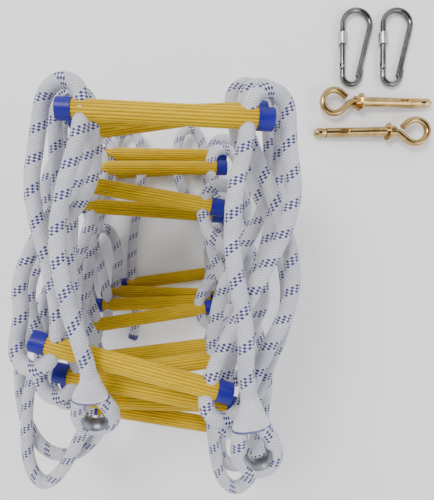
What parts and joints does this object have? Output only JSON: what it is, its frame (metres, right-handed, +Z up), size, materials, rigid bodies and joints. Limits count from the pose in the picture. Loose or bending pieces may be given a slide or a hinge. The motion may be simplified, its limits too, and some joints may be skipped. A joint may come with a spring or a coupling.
{
  "type": "rope_ladder",
  "caption": "Folded emergency rope ladder: braided rope rails with thimble eyes, ribbed plastic rungs with end caps, screw-lock carabiners and eye sleeve anchors.",
  "frame": {"origin": "centre of the laid-out set's footprint, on the ground", "axes": "+Z up from the ground; the rungs run along X; the ropes' long folds run along Y, with the rope eyes at the -Y end"},
  "size_m": [0.6654, 0.736, 0.3309],
  "materials": {
    "yellow_plastic": "ribbed moulded plastic, satin",
    "blue_plastic": "soft vinyl cap, satin gloss",
    "rope_sheath": "white braided polyester with blue tracer strands",
    "galvanised_sheet": "zinc-coated sheet",
    "blue_twine": "waxed whipping twine",
    "pin_steel": "drawn steel",
    "dark_steel": "polished dark nickel plating",
    "bright_steel": "knurled nickel plating",
    "yellow_zinc": "yellow passivated zinc plating"
  },
  "bodies": {
    "ladder": {"rung_01_tube": "yellow_plastic", "rung_02_tube": "yellow_plastic", "rung_03_tube": "yellow_plastic", "rung_04_tube": "yellow_plastic", "rung_05_tube": "yellow_plastic", "rung_06_tube": "yellow_plastic", "rung_07_tube": "yellow_plastic", "rung_08_tube": "yellow_plastic", "rung_09_tube": "yellow_plastic", "rung_10_tube": "yellow_plastic", "rung_11_tube": "yellow_plastic", "rung_12_tube": "yellow_plastic", "rung_13_tube": "yellow_plastic", "rung_14_tube": "yellow_plastic", "rung_15_tube": "yellow_plastic", "rung_16_tube": "yellow_plastic", "rung_17_tube": "yellow_plastic", "rung_18_tube": "yellow_plastic", "rung_01_caps": "blue_plastic", "rung_02_caps": "blue_plastic", "rung_03_caps": "blue_plastic", "rung_04_caps": "blue_plastic", "rung_05_caps": "blue_plastic", "rung_06_caps": "blue_plastic", "rung_07_caps": "blue_plastic", "rung_08_caps": "blue_plastic", "rung_09_caps": "blue_plastic", "rung_10_caps": "blue_plastic", "rung_11_caps": "blue_plastic", "rung_12_caps": "blue_plastic", "rung_13_caps": "blue_plastic", "rung_14_caps": "blue_plastic", "rung_15_caps": "blue_plastic", "rung_16_caps": "blue_plastic", "rung_17_caps": "blue_plastic", "rung_18_caps": "blue_plastic", "left_rope": "rope_sheath", "right_rope": "rope_sheath", "left_thimble": "galvanised_sheet", "right_thimble": "galvanised_sheet", "rope_whippings": "blue_twine", "rung_lock_pins": "pin_steel"},
    "carabiner_1": {"carabiner_1_body": "dark_steel", "carabiner_1_hinge_pin": "pin_steel"},
    "carabiner_1_gate_arm": {"carabiner_1_gate": "dark_steel"},
    "carabiner_1_lock": {"carabiner_1_lock_sleeve": "bright_steel"},
    "carabiner_2": {"carabiner_2_body": "dark_steel", "carabiner_2_hinge_pin": "pin_steel"},
    "carabiner_2_gate_arm": {"carabiner_2_gate": "dark_steel"},
    "carabiner_2_lock": {"carabiner_2_lock_sleeve": "bright_steel"},
    "anchor_1": {"anchor_1_eye_rod": "yellow_zinc", "anchor_1_cone": "yellow_zinc"},
    "anchor_1_shell": {"anchor_1_washer": "yellow_zinc", "anchor_1_sleeve": "yellow_zinc"},
    "anchor_1_nut_ring": {"anchor_1_nut": "yellow_zinc"},
    "anchor_2": {"anchor_2_eye_rod": "yellow_zinc", "anchor_2_cone": "yellow_zinc"},
    "anchor_2_shell": {"anchor_2_washer": "yellow_zinc", "anchor_2_sleeve": "yellow_zinc"},
    "anchor_2_nut_ring": {"anchor_2_nut": "yellow_zinc"}
  },
  "joints": [
    {"name": "carabiner_1_lift", "type": "slide", "parent": "ladder", "child": "carabiner_1", "axis": [0, 0, 1], "range_m": [0, 0.4]},
    {"name": "carabiner_1_gate_hinge", "type": "hinge", "parent": "carabiner_1", "child": "carabiner_1_gate_arm", "pos_m": [0.18127, 0.26511, 0.00753], "axis": [-0.0683, 0.0072, -0.9976], "range_deg": [0, 28], "stiffness_Nm_per_rad": 0.3, "springref_deg": -17.19},
    {"name": "carabiner_1_lock_travel", "type": "slide", "parent": "carabiner_1_gate_arm", "child": "carabiner_1_lock", "axis": [0.0037, 1, 0.0069], "range_m": [0, 0.006]},
    {"name": "carabiner_2_lift", "type": "slide", "parent": "ladder", "child": "carabiner_2", "axis": [0, 0, 1], "range_m": [0, 0.4]},
    {"name": "carabiner_2_gate_hinge", "type": "hinge", "parent": "carabiner_2", "child": "carabiner_2_gate_arm", "pos_m": [0.25127, 0.26511, 0.00753], "axis": [-0.0683, 0.0072, -0.9976], "range_deg": [0, 28], "stiffness_Nm_per_rad": 0.3, "springref_deg": -17.19},
    {"name": "carabiner_2_lock_travel", "type": "slide", "parent": "carabiner_2_gate_arm", "child": "carabiner_2_lock", "axis": [0.0037, 1, 0.0069], "range_m": [0, 0.006]},
    {"name": "anchor_1_lift", "type": "slide", "parent": "ladder", "child": "anchor_1", "axis": [0, 0, 1], "range_m": [0, 0.4]},
    {"name": "anchor_1_clamp", "type": "slide", "parent": "anchor_1", "child": "anchor_1_shell", "axis": [0.9985, 0, -0.0555], "range_m": [0, 0.003]},
    {"name": "anchor_1_nut_turn", "type": "hinge", "parent": "anchor_1_shell", "child": "anchor_1_nut_ring", "pos_m": [0.20234, 0.20125, 0.01496], "axis": [0.9985, 0, -0.0555], "range_deg": [0, 620]},
    {"name": "anchor_2_lift", "type": "slide", "parent": "ladder", "child": "anchor_2", "axis": [0, 0, 1], "range_m": [0, 0.4]},
    {"name": "anchor_2_clamp", "type": "slide", "parent": "anchor_2", "child": "anchor_2_shell", "axis": [-0.9985, 0, -0.0555], "range_m": [0, 0.003]},
    {"name": "anchor_2_nut_turn", "type": "hinge", "parent": "anchor_2_shell", "child": "anchor_2_nut_ring", "pos_m": [0.26206, 0.15025, 0.01496], "axis": [-0.9985, 0, -0.0555], "range_deg": [0, 620]}
  ],
  "couplings": [
    {"joint": "anchor_1_nut_turn", "follows": "anchor_1_clamp", "rad_per_m": 3590.4},
    {"joint": "anchor_2_nut_turn", "follows": "anchor_2_clamp", "rad_per_m": 3590.4}
  ]
}
